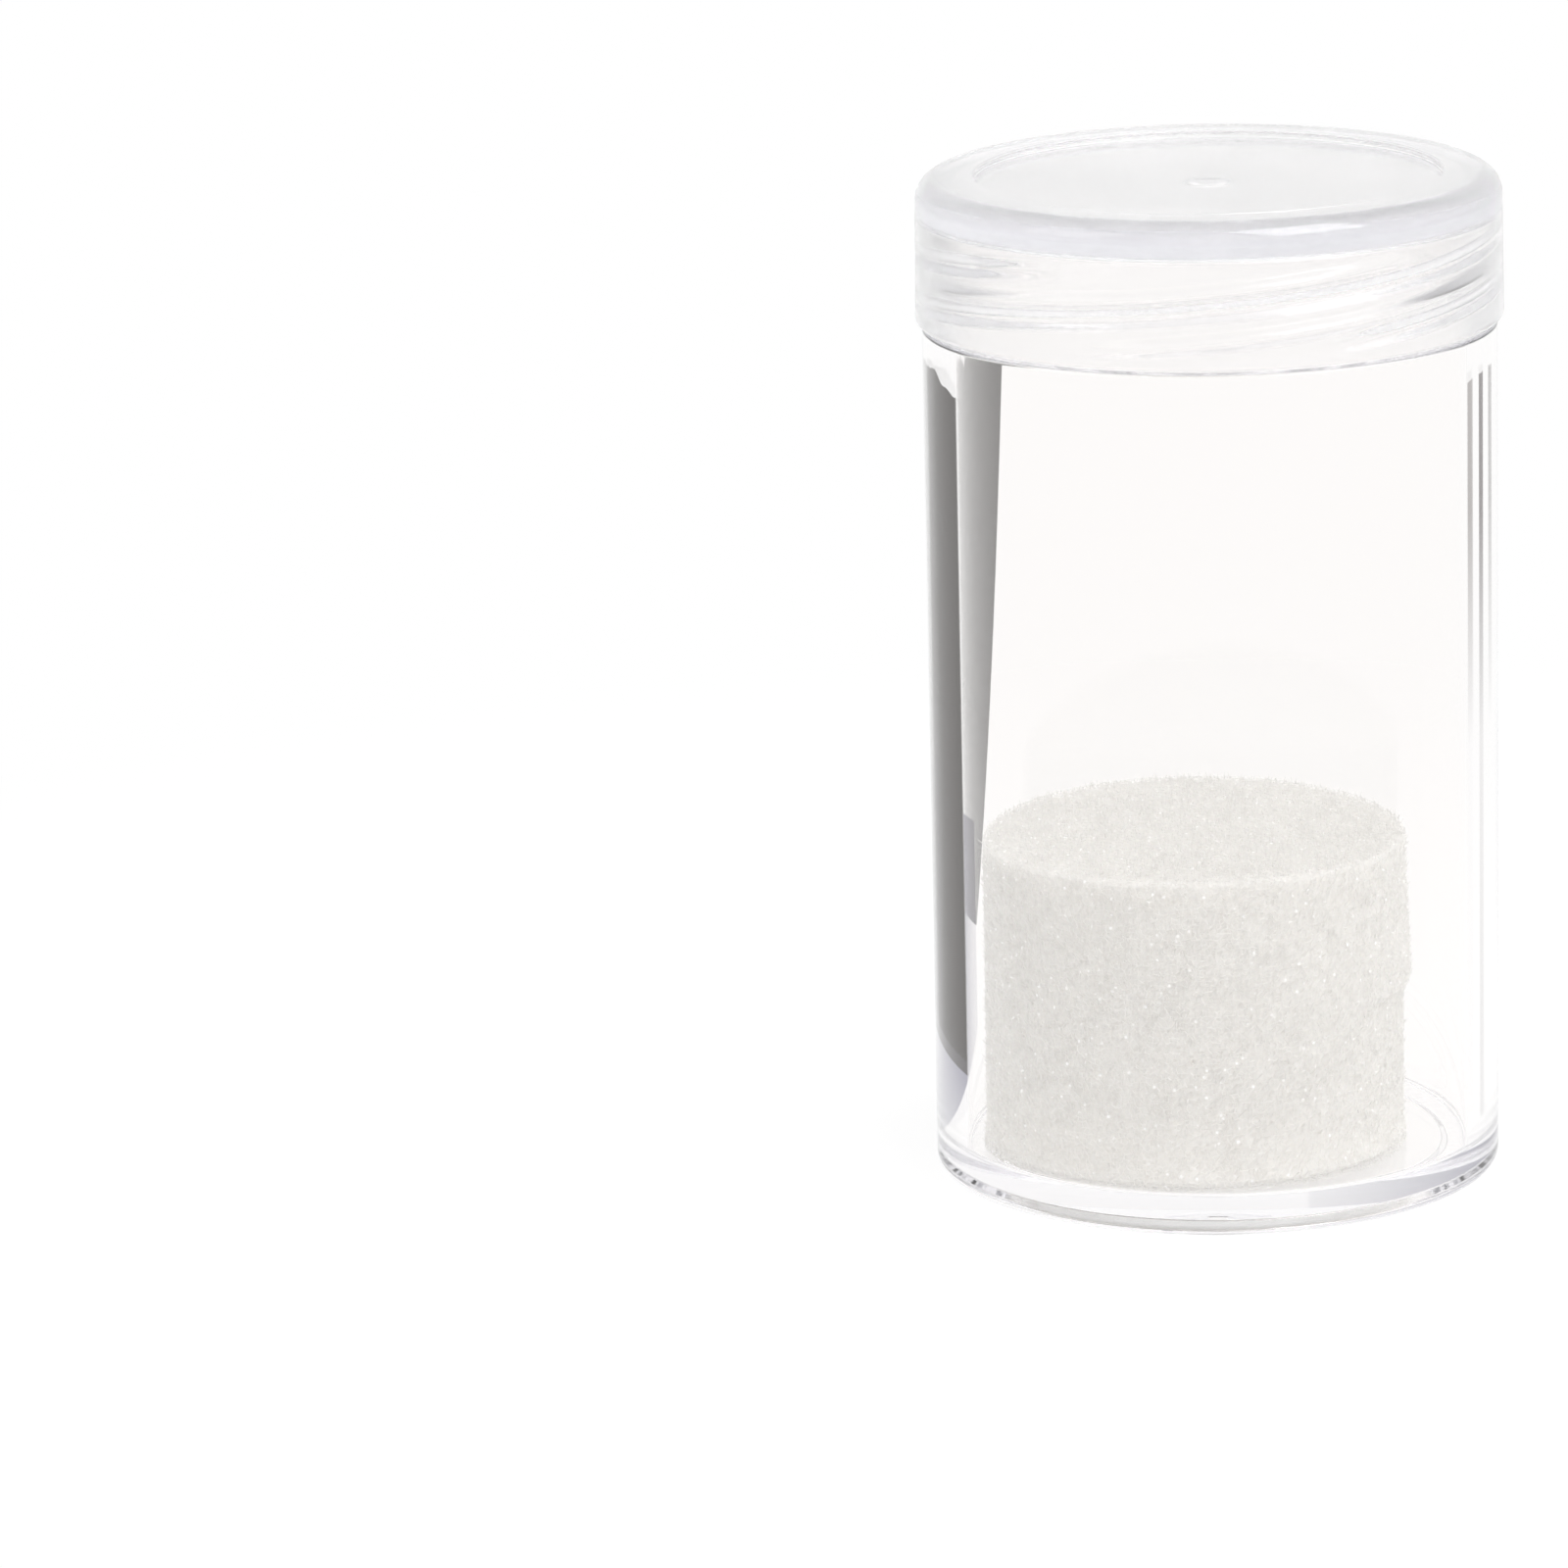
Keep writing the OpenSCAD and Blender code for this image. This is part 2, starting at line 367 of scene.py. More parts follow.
class Thread:
    """One thread's rounded ridges as a height above their wall, in the working scale."""

    def __init__(self, settings, low, high, start_angle):
        self.starts = settings.starts
        self.lead = scaled(settings.pitch) * settings.starts
        self.height = scaled(settings.ridge_height)
        self.half_width = scaled(settings.ridge_width) / 2
        keep_in = scaled(settings.end_distance)
        self.low, self.high = low + keep_in, high - keep_in
        self.start_angle = start_angle
        self.run = (self.high - self.low) / self.lead * math.tau
        self.rise_angle = settings.rise_angle

    def height_at(self, angle, z):
        """Height of the ridge surface above the wall at an angle and a height."""
        for i in range(self.starts):
            along = (angle - self.start_angle - math.tau * i / self.starts) % math.tau
            off = abs(z - self.low - self.lead * along / math.tau)
            if along < self.run and off < self.half_width:
                share = min(1, along / self.rise_angle, (self.run - along) / self.rise_angle)
                return self.height * share * (1 + math.cos(math.pi * off / self.half_width)) / 2
        return 0


def threaded_wall(thread, radius, low, high, outward):
    """A wall whose rows climb with the thread's ridges and are cut off level at both ends."""
    bm = bmesh.new()
    row = thread.lead / THREAD_ROWS
    count = THREAD_ROWS + int((high - low) / row) + 2
    column = [bm.verts.new((radius, 0, high - row * i)) for i in range(count)]
    for a, b in zip(column, column[1:]):
        bm.edges.new((a, b))
    bmesh.ops.spin(
        bm, geom=bm.verts[:] + bm.edges[:], cent=(0, 0, 0), axis=(0, 0, 1), dvec=(0, 0, thread.lead / STEPS),
        angle=math.tau, steps=STEPS, use_merge=False, use_duplicate=False,
    )
    for v in bm.verts:
        grow = 1 + outward * thread.height_at(math.atan2(v.co.y, v.co.x), v.co.z) / radius
        v.co = Vector((v.co.x * grow, v.co.y * grow, min(high, max(low, v.co.z))))
    bmesh.ops.remove_doubles(bm, verts=bm.verts[:], dist=WALL_MERGE)
    return bm


def add_part(bm, part):
    """Adds one bmesh to another and frees it."""
    mesh = bpy.data.meshes.new("part")
    part.to_mesh(mesh)
    part.free()
    bm.from_mesh(mesh)
    bpy.data.meshes.remove(mesh)


def close_skin(bm, wall):
    """Closes a skin with its threaded wall."""
    add_part(bm, wall)
    bmesh.ops.remove_doubles(bm, verts=bm.verts[:], dist=WALL_MERGE)
    bmesh.ops.recalc_face_normals(bm, faces=bm.faces[:])


def make_piece(context, bm, name, material, smooth=True):
    """Turns a bmesh of the working scale into an object in metres at the origin."""
    bmesh.ops.scale(bm, vec=Vector((1, 1, 1)) / WORK, verts=bm.verts[:])
    mesh = bpy.data.meshes.new(name)
    bm.to_mesh(mesh)
    bm.free()
    for polygon in mesh.polygons:
        polygon.use_smooth = smooth
    mesh.materials.append(material)
    piece = bpy.data.objects.new(name, mesh)
    context.scene.collection.objects.link(piece)
    return piece


def even_shading(piece):
    """Lets the large faces set the shading of the rounded edges beside them."""
    modifier = piece.modifiers.new("even_shading", "WEIGHTED_NORMAL")
    modifier.mode = "FACE_AREA"
    modifier.weight = 50
    modifier.keep_sharp = False


def add_node(tree, kind, **inputs):
    """Adds a shader node and sets its inputs, with blanks in place of underscores in their names."""
    node = tree.nodes.new(kind)
    for key, value in inputs.items():
        node.inputs[key.replace("_", " ")].default_value = value
    return node


def new_material(name):
    """A node material with nothing in it but its output."""
    material = bpy.data.materials.new(name)
    material.use_nodes = True
    tree = material.node_tree
    tree.nodes.clear()
    return material, tree, tree.nodes.new("ShaderNodeOutputMaterial")


def math_node(tree, operation, first, *others):
    """Result of a Math node on a socket and on more sockets or numbers."""
    node = tree.nodes.new("ShaderNodeMath")
    node.operation = operation
    tree.links.new(first, node.inputs[0])
    for i, value in enumerate(others, 1):
        if isinstance(value, (int, float)):
            node.inputs[i].default_value = value
        else:
            tree.links.new(value, node.inputs[i])
    return node.outputs[0]


def mixed_shader(tree, factor, first, second):
    """A shader between two, by a share that is a socket or a number."""
    mix = tree.nodes.new("ShaderNodeMixShader")
    if isinstance(factor, float):
        mix.inputs["Fac"].default_value = factor
    else:
        tree.links.new(factor, mix.inputs["Fac"])
    tree.links.new(first, mix.inputs[1])
    tree.links.new(second, mix.inputs[2])
    return mix.outputs["Shader"]


def ray_kind(tree, *kinds):
    """A value of 1 for rays of the given kinds, such as Is Camera Ray, and 0 for the others."""
    path = tree.nodes.new("ShaderNodeLightPath")
    value = path.outputs[kinds[0]]
    for kind in kinds[1:]:
        value = math_node(tree, "MAXIMUM", value, path.outputs[kind])
    return value


def seen_ray(tree):
    """A value of 1 for rays that show a thing to the eye, straight, in gloss or through plastic."""
    return ray_kind(tree, "Is Camera Ray", "Is Glossy Ray", "Is Transmission Ray")


def moulded_bump(tree, scale, strength):
    """A normal with the faint flow marks and handling scuffs of a moulded surface."""
    place = tree.nodes.new("ShaderNodeTexCoord")
    stretch = add_node(tree, "ShaderNodeMapping", Scale=(1, 1, 0.25))
    flow = add_node(tree, "ShaderNodeTexNoise", Scale=scale, Detail=2.0, Roughness=0.45)
    bump = add_node(tree, "ShaderNodeBump", Strength=strength, Distance=0.0001)
    tree.links.new(place.outputs["Object"], stretch.inputs["Vector"])
    tree.links.new(stretch.outputs["Vector"], flow.inputs["Vector"])
    tree.links.new(flow.outputs["Fac"], bump.inputs["Height"])
    return bump.outputs["Normal"]


def varied_roughness(tree, scale, least, most):
    """Roughness that drifts between two values over the surface."""
    place = tree.nodes.new("ShaderNodeTexCoord")
    cloud = add_node(tree, "ShaderNodeTexNoise", Scale=scale, Detail=1.0, Roughness=0.5)
    spread = add_node(tree, "ShaderNodeMapRange", From_Min=0.35, From_Max=0.7, To_Min=least, To_Max=most)
    tree.links.new(place.outputs["Object"], cloud.inputs["Vector"])
    tree.links.new(cloud.outputs["Fac"], spread.inputs["Value"])
    return spread.outputs["Result"]


def milky(tree, body, share):
    """A shader with a share of its light scattered to both sides, as fine haze in the plastic does."""
    milk_white = (0.98, 0.975, 0.975, 1)
    near = add_node(tree, "ShaderNodeBsdfDiffuse", Color=milk_white)
    far = add_node(tree, "ShaderNodeBsdfTranslucent", Color=milk_white)
    both = mixed_shader(tree, 0.5, near.outputs["BSDF"], far.outputs["BSDF"])
    return mixed_shader(tree, share, body, both)


def clear_plastic(name, colour, tint, density, least_rough, most_rough, bump_strength, milk=0.0):
    """Clear moulded plastic that bends light, takes a tint where it is thick and lets lamps through."""
    material, tree, output = new_material(name)
    plastic = add_node(
        tree, "ShaderNodeBsdfPrincipled", Base_Color=(*colour, 1), IOR=1.57, Transmission_Weight=1.0,
    )
    rough = varied_roughness(tree, scale=60.0, least=least_rough, most=most_rough)
    tree.links.new(rough, plastic.inputs["Roughness"])
    tree.links.new(moulded_bump(tree, scale=80.0, strength=bump_strength), plastic.inputs["Normal"])
    body = plastic.outputs["BSDF"]
    if milk:
        body = milky(tree, body, milk)
    passed = add_node(tree, "ShaderNodeBsdfTransparent", Color=(0.99, 0.99, 0.99, 1))
    surface = mixed_shader(tree, ray_kind(tree, "Is Shadow Ray", "Is Diffuse Ray"), body, passed.outputs["BSDF"])
    tree.links.new(surface, output.inputs["Surface"])
    depth = add_node(tree, "ShaderNodeVolumeAbsorption", Color=(*tint, 1), Density=density)
    tree.links.new(depth.outputs["Volume"], output.inputs["Volume"])
    return material


def mixed_colour(tree, factor, first, second):
    """A colour between two, each of which is a socket or a plain colour."""
    mix = tree.nodes.new("ShaderNodeMix")
    mix.data_type = "RGBA"
    tree.links.new(factor, mix.inputs["Factor"])
    for key, colour in (("A", first), ("B", second)):
        if isinstance(colour, tuple):
            mix.inputs[key].default_value = (*colour, 1)
        else:
            tree.links.new(colour, mix.inputs[key])
    return mix.outputs["Result"]


def foam_material(name, colour, foot_z):
    """White open-cell foam with upright streaks, a lower part painted lighter as a painted glow of light coming up
    through the clear floor, and small white specks painted as glints.
    """
    material, tree, output = new_material(name)
    foam = add_node(
        tree, "ShaderNodeBsdfPrincipled", Roughness=0.75, Subsurface_Weight=0.35,
        Subsurface_Radius=(1.0, 0.95, 0.9), Subsurface_Scale=0.003,
    )
    place = tree.nodes.new("ShaderNodeTexCoord")
    upright = add_node(tree, "ShaderNodeMapping", Scale=(1, 1, 0.35))
    streaks = add_node(tree, "ShaderNodeTexNoise", Scale=4000.0, Detail=2.0, Roughness=0.5)
    streak_share = add_node(tree, "ShaderNodeMapRange", From_Min=0.3, From_Max=0.7)
    height = tree.nodes.new("ShaderNodeSeparateXYZ")
    # Painted glow: the lowest 7 mm of the foam is painted lighter, standing in for light that comes up through the
    # clear floor
    painted_glow_share = add_node(
        tree, "ShaderNodeMapRange", From_Min=foot_z, From_Max=foot_z + 0.007, To_Min=0.7, To_Max=0.0
    )
    # Painted glints: small specks of the foam are painted white to stand in for light sparkling on strut facets
    painted_glints = add_node(tree, "ShaderNodeTexVoronoi", Scale=900.0)
    painted_glint_share = add_node(tree, "ShaderNodeMapRange", From_Min=0.10, From_Max=0.15, To_Min=1.0, To_Max=0.0)
    bump = add_node(tree, "ShaderNodeBump", Strength=0.25, Distance=0.0001)
    for node in (upright, height, painted_glints):
        tree.links.new(place.outputs["Object"], node.inputs["Vector"])
    tree.links.new(upright.outputs["Vector"], streaks.inputs["Vector"])
    tree.links.new(streaks.outputs["Fac"], streak_share.inputs["Value"])
    tree.links.new(height.outputs["Z"], painted_glow_share.inputs["Value"])
    tree.links.new(painted_glints.outputs["Distance"], painted_glint_share.inputs["Value"])
    dark, light = (tuple(c * share for c in colour) for share in (0.86, 0.94))
    streaked = mixed_colour(tree, streak_share.outputs["Result"], dark, light)
    # The colour mixed in at the foot is painted glow, not a lighter tone of the foam
    glow_painted = mixed_colour(tree, painted_glow_share.outputs["Result"], streaked, tuple(colour))
    # The white specks mixed in here are painted glints
    paint = mixed_colour(tree, painted_glint_share.outputs["Result"], glow_painted, (1, 1, 1))
    tree.links.new(paint, foam.inputs["Base Color"])
    tree.links.new(streaks.outputs["Fac"], bump.inputs["Height"])
    tree.links.new(bump.outputs["Normal"], foam.inputs["Normal"])
    tree.links.new(foam.outputs["BSDF"], output.inputs["Surface"])
    return material


def flag_material(name, shade, bends, bounces, least_path, axis, end, fade):
    """Dark card that shows only to light bent and bounced so often whose last path is long enough.

    The card ends raggedly at a measure along the axis or, without one, at a distance from the origin,
    and it may fade towards its lower end.
    """
    material, tree, output = new_material(name)
    place = tree.nodes.new("ShaderNodeTexCoord")
    path = tree.nodes.new("ShaderNodeLightPath")
    ragged = add_node(tree, "ShaderNodeTexNoise", Scale=60.0, Detail=3.0, Roughness=0.6)
    along = tree.nodes.new("ShaderNodeVectorMath")
    along.operation = "DOT_PRODUCT" if axis else "LENGTH"
    if axis:
        along.inputs[1].default_value = axis
    tree.links.new(place.outputs["Object"], ragged.inputs["Vector"])
    tree.links.new(place.outputs["Object"], along.inputs[0])
    limit, play = end
    reach = math_node(tree, "MULTIPLY_ADD", ragged.outputs["Fac"], play, along.outputs["Value"])
    seen = math_node(tree, "LESS_THAN", reach, limit)
    bent = math_node(tree, "COMPARE", path.outputs["Transmission Depth"], bends, 0.5)
    bounced = math_node(tree, "COMPARE", path.outputs["Glossy Depth"], *bounces)
    aslant = math_node(tree, "GREATER_THAN", path.outputs["Ray Length"], least_path)
    for condition in (bent, bounced, aslant):
        seen = math_node(tree, "MULTIPLY", seen, condition)
    if fade:
        low, high, least = fade
        rise = add_node(tree, "ShaderNodeMapRange", From_Min=low, From_Max=high, To_Min=least)
        tree.links.new(along.outputs["Value"], rise.inputs["Value"])
        seen = math_node(tree, "MULTIPLY", seen, rise.outputs["Result"])
    clear = tree.nodes.new("ShaderNodeBsdfTransparent")
    card = add_node(tree, "ShaderNodeEmission", Color=(*shade, 1), Strength=1.0)
    surface = mixed_shader(tree, seen, clear.outputs["BSDF"], card.outputs["Emission"])
    tree.links.new(surface, output.inputs["Surface"])
    return material


class COINTUBE_OT_tube(bpy.types.Operator):
    """Builds the clear tube with its foot ring, shoulder and threaded neck"""

    bl_idname = "cointube.tube"
    bl_label = "Tube"

    def execute(self, context):
        size, thread_size = context.scene.cointube_tube, context.scene.cointube_thread
        body_r, rim_z = scaled(TUBE_HIGH.x), scaled(TUBE_HIGH.z)
        foot_r = scaled(size.foot_inner_radius)
        bore_r, neck_r, floor_z = scaled(size.bore_radius), scaled(size.neck_radius), scaled(size.floor_height)
        shoulder_z = rim_z - scaled(size.neck_height)
        recess_r, recess_z = scaled(size.recess_radius), scaled(size.recess_depth)
        dimple_r, dimple_z = scaled(size.dimple_radius), recess_z + scaled(size.dimple_depth)
        stub_r = scaled(GATE_HIGH.x)
        stub_z = dimple_z - scaled(GATE_HIGH.z - GATE_LOW.z)
        crisp, small = scaled(size.sharp_edge), scaled(size.small_edge)
        bm = bmesh.new()
        wire_profile(
            bm,
            [
                (0, stub_z, 0), (stub_r, stub_z, crisp), (stub_r, dimple_z, crisp),
                (dimple_r, dimple_z, crisp), (dimple_r, recess_z, crisp),
                (recess_r, recess_z, crisp), (foot_r, 0, crisp), (body_r, 0, scaled(size.foot_edge)),
                (body_r, shoulder_z, small), (neck_r, shoulder_z, crisp), (neck_r, rim_z, small),
                (bore_r, rim_z, crisp), (bore_r, floor_z, scaled(size.floor_fillet)), (0, floor_z, 0),
            ],
        )
        wall_low, wall_high = open_wall(bm, neck_r)
        spin_profile(bm, STEPS)
        thread = Thread(thread_size, shoulder_z, rim_z, thread_size.start_angle)
        close_skin(bm, threaded_wall(thread, neck_r, wall_low, wall_high, 1))
        plastic = clear_plastic(
            "clear_plastic", size.colour, size.tint, size.tint_density,
            least_rough=0.005, most_rough=0.02, bump_strength=0.02,
        )
        tube = make_piece(context, bm, "tube_body", plastic)
        even_shading(tube)
        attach(tube, "tube")
        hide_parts("tube")
        return {"FINISHED"}


class COINTUBE_OT_lid(bpy.types.Operator):
    """Builds the hazy screw lid and the gate stub in the middle of its ceiling"""

    bl_idname = "cointube.lid"
    bl_label = "Lid"

    def execute(self, context):
        size, thread_size = context.scene.cointube_lid, context.scene.cointube_thread
        tube_size = context.scene.cointube_tube
        lid_r, skirt_z, top_z = scaled(LID_HIGH.x), scaled(LID_LOW.z), scaled(LID_HIGH.z)
        inner_r, ceiling_z = scaled(size.skirt_inner_radius), scaled(size.ceiling_height)
        panel_r, panel_z = scaled(size.panel_radius), top_z - scaled(size.panel_depth)
        dimple_r, dimple_z = scaled(size.dimple_radius), scaled(GATE_HIGH.z)
        crisp = scaled(tube_size.sharp_edge)
        bm = bmesh.new()
        wire_profile(
            bm,
            [
                (0, dimple_z, 0), (dimple_r, dimple_z, crisp), (dimple_r, ceiling_z, crisp),
                (inner_r, ceiling_z, scaled(size.ceiling_fillet)),
                (inner_r, skirt_z, crisp), (lid_r, skirt_z, scaled(size.skirt_edge)),
                (lid_r - scaled(size.skirt_draft), top_z, scaled(size.top_edge)), (panel_r, top_z, crisp),
                (panel_r, panel_z, crisp), (0, panel_z, 0),
            ],
        )
        wall_low, wall_high = open_wall(bm, inner_r)
        spin_profile(bm, STEPS)
        rim_z = scaled(TUBE_HIGH.z)
        shoulder_z = rim_z - scaled(tube_size.neck_height)
        neck_thread = Thread(thread_size, shoulder_z, rim_z, thread_size.start_angle)
        thread = Thread(thread_size, skirt_z, ceiling_z, 0)
        rise = thread.low + scaled(thread_size.bearing_drop) - neck_thread.low
        thread.start_angle = thread_size.start_angle + rise / thread.lead * math.tau
        close_skin(bm, threaded_wall(thread, inner_r, wall_low, wall_high, -1))
        plastic = clear_plastic(
            "hazy_plastic", size.colour, tube_size.tint, size.tint_density,
            least_rough=size.haze * 0.8, most_rough=size.haze * 1.2, bump_strength=0.03, milk=size.milk,
        )
        lid = make_piece(context, bm, "lid_shell", plastic)
        even_shading(lid)
        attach(lid, "lid")
        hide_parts("lid")

        bm = bmesh.new()
        stub_r, low, high = scaled(GATE_HIGH.x), scaled(GATE_LOW.z), scaled(GATE_HIGH.z) - TOUCH_GAP
        wire_profile(bm, [(0, low, 0), (stub_r, low, crisp), (stub_r, high, crisp), (0, high, 0)])
        spin_profile(bm, STUB_STEPS)
        stub = make_piece(context, bm, "gate_stub", plastic)
        even_shading(stub)
        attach(stub, "lid_gate")
        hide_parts("lid_gate")
        return {"FINISHED"}


class FoamShape:
    """The foam's skin: a plug with a slightly uneven side, in the working scale."""

    # How far the skin stays inside the solid, how far its side sways, and how much its foot flares
    INSET, SWAY, FLARE = 0.15, 0.12, 0.25
    # The right side stands in below its ledge and out above it
    RIGHT_INSET, LEDGE = 0.2, 0.65
    # Shares of the height: where the ledge starts, over how much it rises, where it has sunk again and over how much
    LEDGE_START, LEDGE_RISE, LEDGE_END, LEDGE_FALL = 0.5, 0.03, 0.9, 0.35
    # What is left of the ledge at its end, and the share of the height that the flare takes up
    LEDGE_REST, FLARE_SHARE = 0.35, 0.12

    def __init__(self):
        self.centre = Vector((FOAM_LOW.x + FOAM_HIGH.x, FOAM_LOW.y + FOAM_HIGH.y, 0)) / 2 * WORK
        self.radius = scaled(FOAM_HIGH.x - FOAM_LOW.x) / 2
        self.low, self.high = scaled(FOAM_LOW.z), scaled(FOAM_HIGH.z)

    def radius_at(self, angle, z):
        """Radius of the skin at an angle and a height, with a ledge on the right and a flared foot."""
        share = (z - self.low) / (self.high - self.low)
        sway = noise.noise(Vector((1.4 * math.cos(angle), 1.4 * math.sin(angle), 1.2 * share + 7)))
        right = max(0, math.cos(angle)) ** 6
        fullness = clamped((self.LEDGE_END - share) / self.LEDGE_FALL)
        ledge = clamped((share - self.LEDGE_START) / self.LEDGE_RISE)
        ledge *= self.LEDGE_REST + (1 - self.LEDGE_REST) * fullness
        flare = max(0, 1 - share / self.FLARE_SHARE) ** 2
        bulge = right * (self.LEDGE * ledge - self.RIGHT_INSET)
        return self.radius - self.INSET + self.SWAY * sway + bulge + self.FLARE * flare


def foam_core(bm, shape):
    """The dense inside of the foam, with pits where the cells are cut open."""
    core_r, low, high = shape.radius - CORE_DEPTH, shape.low + CORE_LIFT, shape.high - CORE_DEPTH
    corners = [(0, low, 0), (core_r, low, CORE_LOW_EDGE), (core_r, high, CORE_HIGH_EDGE), (0, high, 0)]
    wire_profile(bm, corners, FOAM_EDGE_SEGMENTS)
    for edge in [e for e in bm.edges if e.calc_length() > 2 * CORE_STEP]:
        bmesh.ops.subdivide_edges(bm, edges=[edge], cuts=int(edge.calc_length() / CORE_STEP))
    spin_profile(bm, int(math.tau * core_r / CORE_STEP))
    for v in bm.verts:
        distances, _ = noise.voronoi(v.co / PIT_WIDTH)
        pit = clamped(PIT_SLOPE * (distances[1] - distances[0]))
        v.co -= v.normal * PIT_DEPTH * pit
        angle = math.atan2(v.co.y, v.co.x)
        grow = shape.radius_at(angle, v.co.z) / shape.radius
        v.co = Vector((v.co.x * grow, v.co.y * grow, v.co.z)) + shape.centre


def hexagon_cells(bm, row_of, column_of):
    """Joins pairs of squares of a grid into staggered cells, and returns each vertex's up or down shift.

    A shift of a sixth of a row then gives every cell its six even corners.
    """
    uprights = [e for e in bm.edges if row_of(e.verts[0]) != row_of(e.verts[1])]
    joined = [e for e in uprights if (min(row_of(v) for v in e.verts) + column_of(e.verts[0])) % 2]
    shifts = {v: (1 if (row_of(v) + column_of(v)) % 2 == 0 else -1) for v in bm.verts}
    bmesh.ops.dissolve_edges(bm, edges=joined, use_verts=False)
    return shifts


def strut_net(bm, thickness):
    """Turns the faces of a net into struts along their edges."""
    bmesh.ops.wireframe(
        bm, faces=bm.faces[:], thickness=thickness, offset=0, use_replace=True, use_boundary=True,
        use_even_offset=False, use_crease=False, crease_weight=0, use_relative_offset=False, material_offset=0,
    )


def side_net(shape, cell, strut, ruffle, rng):
    """The net of cut cells around the foam's side."""
    bm = bmesh.new()
    columns = 2 * round(math.tau * shape.radius / cell)
    rows = round((shape.high - shape.low) / (ROW_SHARE * cell))
    rise = (shape.high - shape.low) / rows
    verts = [bm.verts.new((shape.radius, 0, shape.low + rise * i)) for i in range(rows + 1)]
    for a, b in zip(verts, verts[1:]):
        bm.edges.new((a, b))
    bmesh.ops.spin(
        bm, geom=bm.verts[:] + bm.edges[:], cent=(0, 0, 0), axis=(0, 0, 1), angle=math.tau,
        steps=columns, use_merge=True, use_duplicate=False,
    )

    def row_of(v):
        return round((v.co.z - shape.low) / rise)

    def column_of(v):
        return round((math.atan2(v.co.y, v.co.x) % math.tau) / math.tau * columns) % columns

    shifts = hexagon_cells(bm, row_of, column_of)
    for v in bm.verts:
        angle = math.atan2(v.co.y, v.co.x) + rng.uniform(-SIDE_STRAY, SIDE_STRAY) * cell / shape.radius
        z = v.co.z + shifts[v] * rise / 6 + rng.uniform(-STRAY, STRAY) * cell
        z = min(shape.high - NET_DROP, max(shape.low + NET_LIFT, z))
        radius = shape.radius_at(angle, z) - ruffle * abs(rng.gauss(*RUFFLE_SPREAD))
        v.co = Vector((radius * math.cos(angle), radius * math.sin(angle), z)) + shape.centre
    bmesh.ops.recalc_face_normals(bm, faces=bm.faces[:])
    strut_net(bm, strut)
    return bm


def cap_net(shape, z, upwards, cell, strut, ruffle, rng):
    """The net of cut cells over the foam's top or bottom."""
    bm = bmesh.new()
    half = shape.radius + cell
    columns, rows = round(4 * half / cell), round(2 * half / (ROW_SHARE * cell))
    bmesh.ops.create_grid(bm, x_segments=columns, y_segments=rows, size=half)
    across, along = 2 * half / columns, 2 * half / rows

    def row_of(v):
        return round((v.co.y + half) / along)

    def column_of(v):
        return round((v.co.x + half) / across)

    shifts = hexagon_cells(bm, row_of, column_of)
    for v in bm.verts:
        v.co.y += shifts[v] * along / 6 + rng.uniform(-STRAY, STRAY) * cell
        v.co.x += rng.uniform(-STRAY, STRAY) * cell
        v.co.z = z - upwards * ruffle * abs(rng.gauss(*RUFFLE_SPREAD))
    outside = [
        v for v in bm.verts
        if math.hypot(v.co.x, v.co.y) > shape.radius_at(math.atan2(v.co.y, v.co.x), z) - NET_INSET
    ]
    bmesh.ops.delete(bm, geom=outside, context="VERTS")
    for v in bm.verts:
        v.co += shape.centre
    strut_net(bm, strut)
    return bm


def hair_patch(shape, length, thickness, rng):
    """Cut strut ends: thin hairs that mostly stand upright on the foam's side and, twice as close, on its top."""
    bm = bmesh.new()
    side_area = math.tau * shape.radius * (shape.high - shape.low)
    top_area = math.pi * shape.radius**2
    count = HAIRS
    while count > 0:
        angle = rng.uniform(0, math.tau)
        out = Vector((math.cos(angle), math.sin(angle), 0))
        reach = length * rng.uniform(HAIR_LEAST, 1)
        lean = Vector((rng.gauss(0, HAIR_LEAN), rng.gauss(0, HAIR_LEAN), 1))
        if rng.uniform(0, side_area + 2 * top_area) < side_area:
            z = rng.uniform(shape.low + HAIR_ROOM, shape.high - HAIR_ROOM)
            foot = out * (shape.radius_at(angle, z) - HAIR_SIDE_DEPTH)
            lean += out * HAIR_OUTWARDS
        else:
            z = shape.high - HAIR_TOP_DEPTH
            foot = out * (shape.radius_at(angle, z) - HAIR_ROOM) * math.sqrt(rng.random())
        foot.z = z
        lean.normalize()
        tip = foot + lean * reach
        if tip.z > shape.high + HAIR_REACH or tip.xy.length > shape.radius + HAIR_REACH:
            continue
        turn = lean.to_track_quat("Z", "Y").to_matrix().to_4x4()
        bmesh.ops.create_cone(
            bm, cap_ends=True, cap_tris=False, segments=3, radius1=thickness, radius2=thickness * HAIR_TAPER,
            depth=reach, matrix=Matrix.Translation((foot + tip) / 2 + shape.centre) @ turn,
        )
        count -= 1
    return bm


